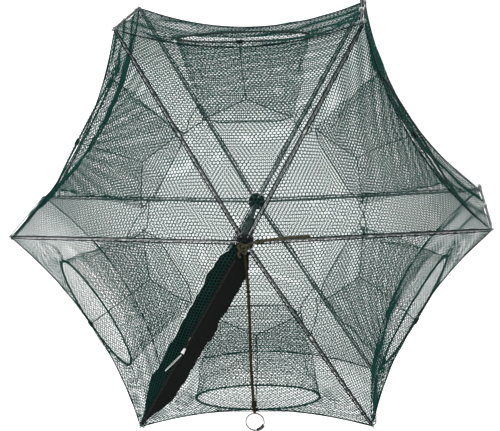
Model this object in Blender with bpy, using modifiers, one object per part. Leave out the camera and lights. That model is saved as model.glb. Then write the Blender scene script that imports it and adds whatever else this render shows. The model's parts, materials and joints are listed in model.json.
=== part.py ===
"""Folding crab trap: a six-sided net trap on an umbrella frame, with a funnel entry in each side.

Two hubs stand on one rod. Six ribs hinge on each hub and slope down to the corners, where an upright
wire joins the tip of each top rib to the tip of the bottom rib under it. Hub spacing equals the length
of the uprights, so every corner is a parallelogram: when the ribs fold down, the uprights stay upright.
Each net panel and each entry funnel is a thin closed solid. Corners are numbered anticlockwise from +X,
and panel N lies between corners N and N + 1. The trap stands on six feet at Z = 0.
"""

import math

import bmesh
import bpy
from mathutils import Matrix

# Driving dimensions, in metres and degrees
SIDES = 6
CORNER_RADIUS = 0.410
WALL_HEIGHT = 0.250
RIB_DROP = 0.050
FOOT_PIN_HEIGHT = 0.008
HUB_PIVOT_RADIUS = 0.0115
RIM_SAG = 0.034
WIRE_RADIUS = 0.0015
NET_THICKNESS = 0.0008

# Wire frame
EYE_RADIUS = 0.0036
HUB_EYE_RADIUS = 0.0028
EYE_TURN = math.radians(285)
EYE_POINTS = 9
POST_WIRE_RADIUS = 0.0013
POST_OFFSET = 0.006
POST_PIN_END = -0.0034
FOOT_RADIUS = 0.0035
FOOT_TOP = 0.012
SLEEVE_RADIUS = 0.0026
SLEEVE_LENGTH = 0.024

# Hubs, rod and collar
HUB_RADIUS = 0.0150
HUB_HALF_HEIGHT = 0.0045
HUB_CAP_RADIUS = 0.0062
HUB_CAP_HEIGHT = 0.0075
HUB_SOCKET_RADIUS = 0.0066
HUB_SOCKET_DEPTH = 0.012
HUB_SOCKET_FLOOR = 0.006
HUB_SLOT_START = 0.0068
HUB_SLOT_WIDTH = 0.0042
HINGE_RING_RADIUS = 0.0009
ROD_RADIUS = 0.0035
RUNNING_GAP = 0.0003
COLLAR_DROP = 0.065
COLLAR_RADIUS = 0.0095
COLLAR_WAIST = 0.0072
COLLAR_FLANGE = 0.0086
COLLAR_HEIGHT = 0.100
TURNED_STEPS = 30

# Net panels, measured from the plane that holds the rib axes
TOP_NET_OFFSET = 0.0036
BOTTOM_NET_OFFSET = -0.0036
WALL_MARGIN = 0.0024
WALL_END_GAP = 0.014
PANEL_EDGE_GAP = 0.0004
PANEL_INNER_RADIUS = 0.0185
PANEL_CORNER_GAP = 0.010
HEM_OVERHANG = 0.0012
RIM_POINTS = 12

# Entries
HOOP_HALF_WIDTH = 0.1125
HOOP_HALF_HEIGHT = 0.054
HOOP_RADIUS = 0.327
HOOP_HEIGHT = 0.198
HOOP_GAP = 0.0008
HOOP_POINTS = 24
LOWER_LIP_RADIUS = 0.170
UPPER_LIP_RADIUS = 0.216
LIP_HALF_WIDTH = 0.088
LOWER_LIP_HEIGHT = 0.150
UPPER_LIP_HEIGHT = 0.178
FUNNEL_MID_SHARE = 0.5

# Zipped door on rib 5
ZIP_CORNER = 5
ZIP_START = 0.012
ZIP_END = 0.385
ZIP_HUB_SHOULDER = 0.045
ZIP_RIM_SHOULDER = 0.050
ZIP_END_HALF_WIDTH = 0.008
TAPE_LEFT_WIDTH = 0.026
TAPE_RIGHT_WIDTH = 0.030
TAPE_LEFT_OFFSET = 0.0024
TAPE_RIGHT_OFFSET = 0.0048
SLIDER_PLACE = 0.222
SLIDER_OFFSET = 0.0056
SLIDER_LENGTH = 0.013
SLIDER_WIDTH = 0.008
SLIDER_HEIGHT = 0.0034
PULL_LENGTH = 0.044
PULL_WIDTH = 0.005
PULL_THICKNESS = 0.0014
PULL_HEEL = 0.0015
PULL_TURN = math.radians(-14)

# Pull rope and ring
ROPE_RADIUS = 0.0025
ROPE_START = 0.0192
ROPE_START_HEIGHT = 0.0082
ROPE_ON_NET = 0.0068
ROPE_END = 0.3245
ROPE_POINTS = 24
TAIL_LENGTH = 0.090
TAIL_TURN = math.radians(3)
KNOT_HALF_SIZES = (0.0100, 0.0085, 0.0060)
KNOT_PLACE = (-0.001, -0.0065)
RING_RADIUS = 0.016
RING_WIRE = 0.0015
RING_POINTS = 28

BOTTOM_PIVOT = FOOT_PIN_HEIGHT + RIB_DROP
TOP_PIVOT = BOTTOM_PIVOT + WALL_HEIGHT
MID_SIDE = CORNER_RADIUS * math.cos(math.pi / SIDES)
HALF_SIDE = CORNER_RADIUS * math.sin(math.pi / SIDES)
PANEL_HINGE = HUB_PIVOT_RADIUS * math.cos(math.pi / SIDES)
PANEL_SLOPE = RIB_DROP / (MID_SIDE - PANEL_HINGE)
RIM_MID = MID_SIDE - RIM_SAG
RIB_LENGTH = math.hypot(CORNER_RADIUS - HUB_PIVOT_RADIUS, RIB_DROP)
RIB_PITCH = math.atan2(RIB_DROP, CORNER_RADIUS - HUB_PIVOT_RADIUS)
PANEL_PITCH = math.atan(PANEL_SLOPE)
WALL_HINGE_HEIGHT = TOP_PIVOT - PANEL_SLOPE * (RIM_MID - PANEL_HINGE)

FINISHES = {
    "black_plastic": ((0.018, 0.019, 0.020), 0.45, 0.0),
    "rib_steel": ((0.36, 0.38, 0.38), 0.32, 1.0),
    "hoop_wire": ((0.030, 0.075, 0.060), 0.42, 0.2),
    "green_net": ((0.016, 0.110, 0.078), 0.60, 0.0),
    "funnel_net": ((0.012, 0.080, 0.058), 0.62, 0.0),
    "zip_tape": ((0.010, 0.012, 0.011), 0.85, 0.0),
    "zip_white": ((0.78, 0.80, 0.78), 0.45, 0.0),
    "olive_rope": ((0.115, 0.105, 0.050), 0.85, 0.0),
    "ring_steel": ((0.62, 0.60, 0.54), 0.22, 1.0),
}


def clear_scene():
    """Removes what the file opened with."""
    for item in list(bpy.data.objects):
        bpy.data.objects.remove(item, do_unlink=True)


def new_collection(name):
    """A collection linked to the scene."""
    collection = bpy.data.collections.new(name)
    bpy.context.scene.collection.children.link(collection)
    return collection


def finish(name):
    """A Principled material from the table of finishes, made once."""
    material = bpy.data.materials.get(name)
    if material is None:
        color, roughness, metallic = FINISHES[name]
        material = bpy.data.materials.new(name)
        material.use_nodes = True
        shader = material.node_tree.nodes["Principled BSDF"]
        shader.inputs["Base Color"].default_value = (*color, 1.0)
        shader.inputs["Roughness"].default_value = roughness
        shader.inputs["Metallic"].default_value = metallic
    return material


def azimuth(number):
    """The direction of a corner, or halfway between corners for a half number, in radians."""
    return (number - 1) * 2 * math.pi / SIDES


def add(name, data, finish_name, turn=0.0, pivot=(0, 0, 0), pitch=0.0):
    """Links an object whose local X is radial: its origin at pivot, turned about +Z, then pitched down."""
    item = bpy.data.objects.new(name, data)
    item.matrix_world = (
        Matrix.Rotation(turn, 4, "Z") @ Matrix.Translation(pivot) @ Matrix.Rotation(pitch, 4, "Y")
    )
    if not data.materials:
        data.materials.append(finish(finish_name))
    parts.objects.link(item)
    return item


def wire(name, points, radius, closed=False):
    """Curve data for a round wire along the points."""
    curve = bpy.data.curves.new(name, "CURVE")
    curve.dimensions = "3D"
    curve.bevel_depth = radius
    curve.bevel_resolution = 2
    curve.use_fill_caps = not closed
    spline = curve.splines.new("POLY")
    spline.points.add(len(points) - 1)
    for point, place in zip(spline.points, points):
        point.co = (*place, 1.0)
    spline.use_cyclic_u = closed
    return curve


def plate(name, outline, thickness):
    """Curve data for a flat plate in the local XY plane, centred on it."""
    curve = bpy.data.curves.new(name, "CURVE")
    curve.dimensions = "2D"
    curve.fill_mode = "BOTH"
    curve.extrude = thickness / 2
    spline = curve.splines.new("POLY")
    spline.points.add(len(outline) - 1)
    for point, place in zip(spline.points, outline):
        point.co = (*place, 0.0, 1.0)
    spline.use_cyclic_u = True
    return curve


def helper(name, mesh):
    """A hidden object that cuts or joins a part while it is being shaped."""
    item = bpy.data.objects.new(name, mesh)
    item.hide_render = True
    item.display_type = "WIRE"
    cutters.objects.link(item)
    return item


def evaluated_mesh(item, name):
    """A welded mesh of an object with its modifiers applied. The object is removed."""
    bpy.context.view_layer.update()
    source = item.evaluated_get(bpy.context.evaluated_depsgraph_get())
    mesh = bpy.data.meshes.new_from_object(source)
    mesh.name = name
    bpy.data.objects.remove(item, do_unlink=True)
    shape = bmesh.new()
    shape.from_mesh(mesh)
    bmesh.ops.remove_doubles(shape, verts=shape.verts, dist=0.000005)
    shape.to_mesh(mesh)
    shape.free()
    return mesh


def cylinder_mesh(name, radius, length, place, segments=16):
    """A closed cylinder along Z, centred at place."""
    mesh = bpy.data.meshes.new(name)
    shape = bmesh.new()
    bmesh.ops.create_cone(
        shape, cap_ends=True, segments=segments, radius1=radius, radius2=radius, depth=length
    )
    bmesh.ops.translate(shape, verts=shape.verts, vec=place)
    shape.to_mesh(mesh)
    shape.free()
    return mesh


def turned_mesh(name, profile, closed=False):
    """A mesh turned about Z from a profile of (radius, height), run down its outer side."""
    mesh = bpy.data.meshes.new(name + "_profile")
    shape = bmesh.new()
    row = [shape.verts.new((radius, 0, height)) for radius, height in profile]
    pairs = list(zip(row, row[1:]))
    if closed:
        pairs.append((row[-1], row[0]))
    for first, second in pairs:
        shape.edges.new((first, second))
    shape.to_mesh(mesh)
    shape.free()
    item = helper(name + "_profile", mesh)
    screw = item.modifiers.new("turn", "SCREW")
    screw.steps = screw.render_steps = TURNED_STEPS
    screw.use_merge_vertices = True
    screw.merge_threshold = 0.00001
    screw.use_smooth_shade = False
    return evaluated_mesh(item, name)


def combine(name, base, changes):
    """Applies EXACT Booleans to a mesh: changes is a list of (operation, mesh)."""
    item = helper(name + "_blank", base)
    tools = []
    for operation, mesh in changes:
        tool = helper(name + "_tool", mesh)
        step = item.modifiers.new(operation.lower(), "BOOLEAN")
        step.operation = operation
        step.object = tool
        tools.append(tool)
    mesh = evaluated_mesh(item, name)
    for tool in tools:
        bpy.data.objects.remove(tool, do_unlink=True)
    return mesh


def smooth(mesh, degrees=35):
    """Rounds the shading of a turned or swept mesh."""
    mesh.shade_smooth()
    mesh.set_sharp_from_angle(angle=math.radians(degrees))
    return mesh


def circle(radius, count, turn=2 * math.pi, start=0.0):
    """Points on an arc, as (across, up). A full circle leaves out its last point."""
    steps = count if turn == 2 * math.pi else count - 1
    angles = [start + turn * step / steps for step in range(count)]
    return [(radius * math.cos(angle), radius * math.sin(angle)) for angle in angles]


# Frame


def hub_mesh():
    """A hub about its pivot height: slotted disc, top cap, rod socket and a hinge ring across the slots."""
    profile = [
        (0, HUB_CAP_HEIGHT),
        (HUB_CAP_RADIUS - 0.001, HUB_CAP_HEIGHT),
        (HUB_CAP_RADIUS, HUB_CAP_HEIGHT - 0.001),
        (HUB_CAP_RADIUS, HUB_HALF_HEIGHT),
        (HUB_RADIUS - 0.001, HUB_HALF_HEIGHT),
        (HUB_RADIUS, HUB_HALF_HEIGHT - 0.001),
        (HUB_RADIUS, 0.001 - HUB_HALF_HEIGHT),
        (HUB_RADIUS - 0.001, -HUB_HALF_HEIGHT),
        (HUB_SOCKET_RADIUS, -HUB_HALF_HEIGHT),
        (HUB_SOCKET_RADIUS, -HUB_SOCKET_DEPTH),
        (ROD_RADIUS + RUNNING_GAP, -HUB_SOCKET_DEPTH),
        (ROD_RADIUS + RUNNING_GAP, -HUB_SOCKET_FLOOR),
        (0, -HUB_SOCKET_FLOOR),
    ]
    slots = bpy.data.meshes.new("slots")
    shape = bmesh.new()
    slot_length = HUB_RADIUS - HUB_SLOT_START + 0.002
    for number in range(SIDES):
        box = bmesh.ops.create_cube(shape, size=1.0)["verts"]
        bmesh.ops.scale(shape, verts=box, vec=(slot_length, HUB_SLOT_WIDTH, 4 * HUB_HALF_HEIGHT))
        bmesh.ops.translate(shape, verts=box, vec=(HUB_SLOT_START + slot_length / 2, 0, 0))
        turn = Matrix.Rotation(azimuth(number + 1), 3, "Z")
        bmesh.ops.rotate(shape, verts=box, matrix=turn)
    shape.to_mesh(slots)
    shape.free()
    ring = [
        (HUB_PIVOT_RADIUS + across, up) for across, up in circle(HINGE_RING_RADIUS, 8, start=math.pi / 8)
    ]
    ring = turned_mesh("hinge_ring", ring[::-1], closed=True)
    body = combine("hub", turned_mesh("hub_body", profile), [("DIFFERENCE", slots), ("UNION", ring)])
    return smooth(body)


def rib_points():
    """A rib's wire from its hub eye to its tip eye, in its own plane, with local X along the rib."""
    inner = circle(HUB_EYE_RADIUS, EYE_POINTS, -EYE_TURN)[::-1]
    outer = circle(EYE_RADIUS, EYE_POINTS, -EYE_TURN, start=math.pi)
    points = [(across, 0, up) for across, up in inner]
    return points + [(RIB_LENGTH + across, 0, up) for across, up in outer]


def post_mesh():
    """A corner upright about its top pin: wire with a pin bent at each end, a crimp sleeve and a foot."""
    points = [
        (0, POST_PIN_END, 0),
        (0, POST_OFFSET, 0),
        (0, POST_OFFSET, -WALL_HEIGHT),
        (0, POST_PIN_END, -WALL_HEIGHT),
    ]
    item = bpy.data.objects.new("post_wire", wire("post_wire", points, POST_WIRE_RADIUS))
    cutters.objects.link(item)
    body = evaluated_mesh(item, "post_wire")
    ground = -WALL_HEIGHT - FOOT_PIN_HEIGHT
    foot_centre = (0, POST_OFFSET, ground + FOOT_TOP / 2)
    foot = cylinder_mesh("foot", FOOT_RADIUS, FOOT_TOP, foot_centre)
    sleeve_centre = (0, POST_OFFSET, -WALL_HEIGHT / 2)
    sleeve = cylinder_mesh("sleeve", SLEEVE_RADIUS, SLEEVE_LENGTH, sleeve_centre, segments=12)
    return smooth(combine("corner_post", body, [("UNION", foot), ("UNION", sleeve)]))


def build_frame():
    """Hubs, rod, collar, ribs and uprights."""
    hub = hub_mesh()
    add("top_hub", hub, "black_plastic", pivot=(0, 0, TOP_PIVOT))
    bottom_hub = add("bottom_hub", hub, "black_plastic")
    bottom_hub.matrix_world = Matrix.Translation((0, 0, BOTTOM_PIVOT)) @ Matrix.Rotation(math.pi, 4, "X")
    low = BOTTOM_PIVOT + HUB_SOCKET_FLOOR + RUNNING_GAP
    high = TOP_PIVOT - HUB_SOCKET_FLOOR - RUNNING_GAP
    rod = cylinder_mesh("center_rod", ROD_RADIUS, high - low, (0, 0, (low + high) / 2), segments=20)
    add("center_rod", smooth(rod), "black_plastic")
    bore = ROD_RADIUS + RUNNING_GAP + 0.0001
    half = COLLAR_HEIGHT / 2
    collar = [
        (COLLAR_RADIUS - 0.001, half),
        (COLLAR_RADIUS, half - 0.001),
        (COLLAR_RADIUS, 0),
        (COLLAR_WAIST, -0.002),
        (COLLAR_WAIST, -half + 0.006),
        (COLLAR_FLANGE, -half + 0.005),
        (COLLAR_FLANGE, -half + 0.001),
        (COLLAR_FLANGE - 0.001, -half),
        (bore, -half),
        (bore, half),
    ]
    collar = smooth(turned_mesh("lock_collar", collar, closed=True))
    add("lock_collar", collar, "black_plastic", pivot=(0, 0, TOP_PIVOT - COLLAR_DROP))
    rib = wire("rib", rib_points(), WIRE_RADIUS)
    post = post_mesh()
    for number in range(1, SIDES + 1):
        turn = azimuth(number)
        for layer, height in (("top", TOP_PIVOT), ("bottom", BOTTOM_PIVOT)):
            pivot = (HUB_PIVOT_RADIUS, 0, height)
            add(f"{layer}_rib_{number}", rib, "rib_steel", turn, pivot, RIB_PITCH)
        tip = (CORNER_RADIUS, 0, FOOT_PIN_HEIGHT + WALL_HEIGHT)
        add(f"corner_post_{number}", post, "rib_steel", turn, tip)


# Net panels


def rim_radius(across):
    """Distance from the middle to the sagging rim, along the panel's centre line."""
    return MID_SIDE - RIM_SAG * (1 - (across / HALF_SIDE) ** 2)


def plane_height(radius):
    """Height of the ribs' plane below its hub pivot at a distance along the panel's centre line."""
    return -PANEL_SLOPE * (radius - PANEL_HINGE)


def panel_outline():
    """A top or bottom panel in its own plane, from its hub edge to the sagging rim, about its hinge."""
    stretch = 1 / math.cos(PANEL_PITCH)
    slope = math.tan(math.pi / SIDES)
    inner = PANEL_INNER_RADIUS * math.cos(math.pi / SIDES)
    reach = HALF_SIDE - PANEL_CORNER_GAP
    rim = [reach * (1 - 2 * step / RIM_POINTS) for step in range(RIM_POINTS + 1)]
    points = [(inner, -inner * slope + PANEL_EDGE_GAP)]
    for across in reversed(rim):
        radius = rim_radius(across) + HEM_OVERHANG
        edge = radius * slope - PANEL_EDGE_GAP
        points.append((radius, max(-edge, min(edge, across))))
    points.append((inner, inner * slope - PANEL_EDGE_GAP))
    return [((radius - PANEL_HINGE) * stretch, across) for radius, across in points]


def bridge(name, rings, thickness, closed=False):
    """A thin solid skinned through rings of points. The wall grows to the inner side of the skin."""
    mesh = bpy.data.meshes.new(name)
    shape = bmesh.new()
    loops = []
    for ring in rings:
        row = [shape.verts.new(point) for point in ring]
        loops.append([shape.edges.new((a, b)) for a, b in zip(row, row[1:] + row[:1])])
    for first, second in zip(loops, loops[1:]):
        bmesh.ops.bridge_loops(shape, edges=first + second)
    bmesh.ops.recalc_face_normals(shape, faces=shape.faces)
    shape.to_mesh(mesh)
    shape.free()
    item = helper(name + "_skin", mesh)
    solid = item.modifiers.new("thickness", "SOLIDIFY")
    solid.thickness = thickness
    solid.offset = 0.0
    solid.use_even_offset = False
    return evaluated_mesh(item, name)


def hoop_oval(grow, count=HOOP_POINTS):
    """Points on the entry hoop's oval, as (across, height), grown by a margin."""
    points = []
    for step in range(count):
        angle = 2 * math.pi * (step + 0.5) / count
        across = (HOOP_HALF_WIDTH + grow) * math.cos(angle)
        points.append((across, HOOP_HEIGHT + (HOOP_HALF_HEIGHT + grow) * math.sin(angle)))
    return points


def wall_edge(across, side):
    """Height of a wall's top edge for side 1, or of its bottom edge for side -1."""
    pivot = TOP_PIVOT if side > 0 else BOTTOM_PIVOT
    return pivot + plane_height(rim_radius(across)) + side * WALL_MARGIN


def wall_mesh():
    """A side panel about its hem: a sheet that follows the sagging rims, with an oval hole for the entry."""
    half = HALF_SIDE - WALL_END_GAP
    hole = hoop_oval(WIRE_RADIUS + HOOP_GAP)
    quarter = HOOP_POINTS // 4
    middle = 0.5 * (wall_edge(half, 1) + wall_edge(half, -1))
    reach = 0.5 * (wall_edge(half, 1) - wall_edge(half, -1))
    edge = []
    for step in range(HOOP_POINTS):
        side, place = divmod(step + quarter // 2, quarter)
        share = (place + 0.5) / quarter * 2 - 1
        if side % 4 == 0:
            edge.append((half, middle + share * reach))
        elif side == 1:
            edge.append((-share * half, wall_edge(share * half, 1)))
        elif side == 2:
            edge.append((-half, middle - share * reach))
        else:
            edge.append((share * half, wall_edge(share * half, -1)))
    rings = []
    for ring in (edge, hole):
        places = []
        for across, height in ring:
            places.append((rim_radius(across) - RIM_MID, across, height - WALL_HINGE_HEIGHT))
        rings.append(places)
    return bridge("side_net", rings, NET_THICKNESS)


def funnel_mesh():
    """An entry funnel about its hem: a skin from inside the hoop to a flat mouth with a longer lower lip."""
    margin = -WIRE_RADIUS - HOOP_GAP - NET_THICKNESS
    outer = hoop_oval(margin)
    rings = [[(HOOP_RADIUS, across, height) for across, height in outer]]
    lips = []
    for across, height in outer:
        share = across / (HOOP_HALF_WIDTH + margin)
        rise = (height - HOOP_HEIGHT) / (HOOP_HALF_HEIGHT + margin)
        spread = math.copysign(min(1.0, 1.35 * abs(share)), share)
        lift = 0.5 + 0.5 * max(-1.0, min(1.0, 2.2 * rise))
        lip_height = LOWER_LIP_HEIGHT + (UPPER_LIP_HEIGHT - LOWER_LIP_HEIGHT) * lift
        apex = UPPER_LIP_RADIUS - LOWER_LIP_RADIUS
        lip_radius = LOWER_LIP_RADIUS + apex * lift * (1 - abs(spread))
        lips.append((lip_radius, LIP_HALF_WIDTH * spread * (1 - 0.02 * lift), lip_height))
    middle = []
    for first, last in zip(rings[0], lips):
        middle.append(tuple(a + (b - a) * FUNNEL_MID_SHARE for a, b in zip(first, last)))
    rings += [middle, lips]
    rings = [[(x - RIM_MID, y, z - WALL_HINGE_HEIGHT) for x, y, z in ring] for ring in rings]
    return bridge("funnel_net", rings, NET_THICKNESS)


def build_nets():
    """Top, bottom and side panels, and each entry's hoop and funnel."""
    panel = plate("net_panel", panel_outline(), NET_THICKNESS)
    wall = wall_mesh()
    funnel = funnel_mesh()
    hoop_points = [
        (HOOP_RADIUS - RIM_MID, across, height - WALL_HINGE_HEIGHT) for across, height in hoop_oval(0.0)
    ]
    hoop = wire("entry_hoop", hoop_points, WIRE_RADIUS, closed=True)
    for number in range(1, SIDES + 1):
        turn = azimuth(number + 0.5)
        for layer, height, offset in (
            ("top", TOP_PIVOT, TOP_NET_OFFSET),
            ("bottom", BOTTOM_PIVOT, BOTTOM_NET_OFFSET),
        ):
            pivot = (PANEL_HINGE, 0, height + offset)
            add(f"{layer}_net_{number}", panel, "green_net", turn, pivot, PANEL_PITCH)
        hem = (RIM_MID, 0, WALL_HINGE_HEIGHT)
        add(f"side_net_{number}", wall, "green_net", turn, hem)
        add(f"funnel_net_{number}", funnel, "funnel_net", turn, hem)
        add(f"entry_hoop_{number}", hoop, "hoop_wire", turn, hem)


# Zipped door


def tape_outline(width):
    """One side of the zip band: X along its rib, Y from the rib out over the panel, narrowed at both ends."""
    side = math.copysign(1, width)
    seam = side * PANEL_EDGE_GAP
    end = side * ZIP_END_HALF_WIDTH
    points = [(ZIP_START, seam), (ZIP_END, seam), (ZIP_END, end)]
    points += [(ZIP_END - ZIP_RIM_SHOULDER, width), (ZIP_START + ZIP_HUB_SHOULDER, width)]
    points.append((ZIP_START, end))
    return points if side > 0 else points[::-1]


def build_zip():
    """The zip's two tapes, its slider and the pull tab, all on the rib under them."""
    turn = azimuth(ZIP_CORNER)
    pivot = (HUB_PIVOT_RADIUS, 0, TOP_PIVOT)
    spread = math.atan2(HALF_SIDE - HUB_PIVOT_RADIUS / 2, math.hypot(MID_SIDE - PANEL_HINGE, RIB_DROP))
    for name, width, panel, offset in (
        ("zip_tape_left", -TAPE_LEFT_WIDTH, ZIP_CORNER - 0.5, TAPE_LEFT_OFFSET),
        ("zip_tape_right", TAPE_RIGHT_WIDTH, ZIP_CORNER + 0.5, TAPE_RIGHT_OFFSET),
    ):
        side = math.copysign(1, width)
        tape = add(name, plate(name, tape_outline(width), NET_THICKNESS), "zip_tape")
        tape.matrix_world = (
            Matrix.Rotation(azimuth(panel), 4, "Z")
            @ Matrix.Translation((PANEL_HINGE, -side * HUB_PIVOT_RADIUS / 2, TOP_PIVOT))
            @ Matrix.Rotation(PANEL_PITCH, 4, "Y")
            @ Matrix.Rotation(-side * spread, 4, "Z")
            @ Matrix.Translation((0, 0, offset))
        )
    slider = bpy.data.meshes.new("zip_slider")
    shape = bmesh.new()
    bmesh.ops.create_cube(shape, size=1.0)
    bmesh.ops.scale(shape, verts=shape.verts, vec=(SLIDER_LENGTH, SLIDER_WIDTH, SLIDER_HEIGHT))
    bmesh.ops.bevel(
        shape, geom=shape.edges, offset=0.0008, segments=2, profile=0.5, affect="EDGES", material=-1
    )
    shape.to_mesh(slider)
    shape.free()
    height = SLIDER_OFFSET + SLIDER_HEIGHT / 2
    item = add("zip_slider", slider, "zip_white")
    item.matrix_world = rib_matrix(turn, pivot) @ Matrix.Translation((SLIDER_PLACE, 0, height))
    half = PULL_WIDTH / 2
    heel = half - PULL_HEEL
    tab = [(heel + x, y) for x, y in circle(half, 8, math.pi, start=math.pi / 2)]
    tab += [(PULL_LENGTH + x, y) for x, y in circle(half, 8, math.pi, start=-math.pi / 2)]
    pull = add("zip_pull", plate("zip_pull", tab, PULL_THICKNESS), "zip_white")
    start = Matrix.Translation((SLIDER_PLACE + SLIDER_LENGTH / 2 + PULL_HEEL + 0.0005, 0, height))
    pull.matrix_world = rib_matrix(turn, pivot) @ start @ Matrix.Rotation(PULL_TURN, 4, "Z")


def rib_matrix(turn, pivot):
    """Placement of what lies along a top rib: origin at the rib's hinge, X along the rib."""
    return Matrix.Rotation(turn, 4, "Z") @ Matrix.Translation(pivot) @ Matrix.Rotation(RIB_PITCH, 4, "Y")


# Pull rope


def rope_points():
    """The rope's centre line about its start at the hub, over the net to the ring, with local X outwards."""
    points = []
    for step in range(ROPE_POINTS):
        share = step / (ROPE_POINTS - 1)
        radius = ROPE_START + (ROPE_END - ROPE_START) * share
        settle = math.exp(-9 * share)
        on_net = plane_height(radius) + ROPE_ON_NET
        start = plane_height(ROPE_START) + ROPE_ON_NET
        height = on_net + (ROPE_START_HEIGHT - start) * settle - ROPE_START_HEIGHT
        points.append((radius - ROPE_START, 0.0015 * math.sin(2 * math.pi * share), height))
    return points


def tail_points():
    """The rope's cut end about its start beside the knot, lying on the net."""
    points = []
    for step in range(8):
        share = step / 7
        fall = plane_height(ROPE_START + TAIL_LENGTH * share) - plane_height(ROPE_START)
        points.append((TAIL_LENGTH * share, 0.003 * math.sin(math.pi * share), fall))
    return points


def build_rope():
    """Knot, tail, rope and the split ring on its end."""
    turn = azimuth(5.5)
    start = (ROPE_START, 0, TOP_PIVOT + ROPE_START_HEIGHT)
    add("pull_rope", wire("pull_rope", rope_points(), ROPE_RADIUS), "olive_rope", turn, start)
    tail = wire("rope_tail", tail_points(), ROPE_RADIUS)
    add("rope_tail", tail, "olive_rope", TAIL_TURN, (ROPE_START, 0, TOP_PIVOT + ROPE_START_HEIGHT))
    knot = bpy.data.meshes.new("rope_knot")
    shape = bmesh.new()
    bmesh.ops.create_uvsphere(shape, u_segments=14, v_segments=9, radius=1.0)
    bmesh.ops.scale(shape, verts=shape.verts, vec=KNOT_HALF_SIZES)
    shape.to_mesh(knot)
    shape.free()
    knot_height = TOP_PIVOT + HUB_CAP_HEIGHT + KNOT_HALF_SIZES[2] + RUNNING_GAP
    add("rope_knot", smooth(knot, 60), "olive_rope", pivot=(*KNOT_PLACE, knot_height))
    ring_points = [(RING_RADIUS + across, up, 0) for across, up in circle(RING_RADIUS, RING_POINTS)]
    ring_place = ROPE_END + RING_WIRE + 0.0006
    ring_height = TOP_PIVOT + plane_height(ROPE_END) + ROPE_ON_NET
    ring = wire("pull_ring", ring_points, RING_WIRE, closed=True)
    add("pull_ring", ring, "ring_steel", turn, (ring_place, 0, ring_height))


clear_scene()
parts = new_collection("folding_crab_trap")
cutters = new_collection("cutters")
build_frame()
build_nets()
build_zip()
build_rope()
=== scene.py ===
"""Looks for the folding crab trap: netting, hems, lashings, zip band, rope and ring."""

from __future__ import annotations

import json
import logging
import math
from dataclasses import dataclass, field
from enum import Enum
from typing import Iterable, Sequence

import bmesh
import bpy
from mathutils import Euler, Matrix, Vector, noise


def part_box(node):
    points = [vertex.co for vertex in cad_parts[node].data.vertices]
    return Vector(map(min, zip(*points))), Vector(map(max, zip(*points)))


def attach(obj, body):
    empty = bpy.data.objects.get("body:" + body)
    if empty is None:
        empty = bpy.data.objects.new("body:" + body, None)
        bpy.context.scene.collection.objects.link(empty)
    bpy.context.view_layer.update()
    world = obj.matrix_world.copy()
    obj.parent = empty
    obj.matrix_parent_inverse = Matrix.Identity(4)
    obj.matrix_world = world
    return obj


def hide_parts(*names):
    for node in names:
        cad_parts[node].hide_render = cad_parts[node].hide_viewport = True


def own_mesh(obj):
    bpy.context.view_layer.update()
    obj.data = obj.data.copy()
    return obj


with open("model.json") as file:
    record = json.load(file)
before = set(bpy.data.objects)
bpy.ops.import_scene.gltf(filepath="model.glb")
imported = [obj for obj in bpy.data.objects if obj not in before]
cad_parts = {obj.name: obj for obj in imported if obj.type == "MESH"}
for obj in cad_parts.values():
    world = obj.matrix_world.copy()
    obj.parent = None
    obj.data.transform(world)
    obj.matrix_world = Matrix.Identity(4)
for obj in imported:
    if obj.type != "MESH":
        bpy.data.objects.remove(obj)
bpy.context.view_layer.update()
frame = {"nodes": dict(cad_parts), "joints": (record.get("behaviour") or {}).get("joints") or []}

log = logging.getLogger("crab_trap")

SIDES = 6
ZIP_RIB = 5
BOTTOM_SLACK = 0.006
LEAST_THREAD_SHARE = 0.301

Path = list[Vector]


class Layer(Enum):
    """The two flat sides of the trap."""

    TOP = "top"
    BOTTOM = "bottom"


# Layout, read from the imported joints


def joint(name: str) -> dict:
    """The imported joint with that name."""
    return next(row for row in frame["joints"] if row["name"] == name)


@dataclass(frozen=True)
class Layout:
    """The frame's driving places, in metres."""

    hub_radius: float
    top_hub: float
    bottom_hub: float
    corner_radius: float
    top_tip: float
    rim_mid: float
    net_offset: float

    @classmethod
    def from_joints(cls) -> Layout:
        """Reads the places off the fold joints."""
        hub, low = joint("fold")["pos_m"], joint("bottom_rib_1_hinge")["pos_m"]
        tip, hem = joint("corner_post_1_hinge")["pos_m"], Vector(joint("side_1_hang")["pos_m"])
        panel = joint("top_net_1_fold")["pos_m"]
        rim = math.hypot(hem.x, hem.y)
        return cls(hub[0], hub[2], low[2], tip[0], tip[2], rim, panel[2] - hub[2])

    @property
    def mid_side(self) -> float:
        """Distance from the middle to a side's chord."""
        return self.corner_radius * math.cos(math.pi / SIDES)

    @property
    def half_side(self) -> float:
        """Half the length of a side."""
        return self.corner_radius / 2

    @property
    def slope(self) -> float:
        """Fall of a panel for each metre outwards."""
        inner = self.hub_radius * math.cos(math.pi / SIDES)
        return (self.top_hub - self.top_tip) / (self.mid_side - inner)

    def plane(self, radius: float, hub: float) -> float:
        """Height of the ribs' plane at a distance along a panel's centre line."""
        return hub - self.slope * (radius - self.hub_radius * math.cos(math.pi / SIDES))

    def sag(self, layer: Layer) -> float:
        """How far the middle of a rim is drawn in. The bottom rim is slacker."""
        return self.mid_side - self.rim_mid + (BOTTOM_SLACK if layer is Layer.BOTTOM else 0.0)

    def hub(self, layer: Layer) -> float:
        """Height of a layer's hub pivot."""
        return self.top_hub if layer is Layer.TOP else self.bottom_hub

    def offset(self, layer: Layer) -> float:
        """Height of a layer's net over the plane of its ribs."""
        return self.net_offset if layer is Layer.TOP else -self.net_offset

    def rim(self, across: float, layer: Layer) -> Vector:
        """A point of a sagging rim, in its panel's frame, at a place across the panel."""
        radius = self.mid_side - self.sag(layer) * (1 - (across / self.half_side) ** 2)
        return Vector((radius, across, self.plane(radius, self.hub(layer)) + self.offset(layer)))


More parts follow.
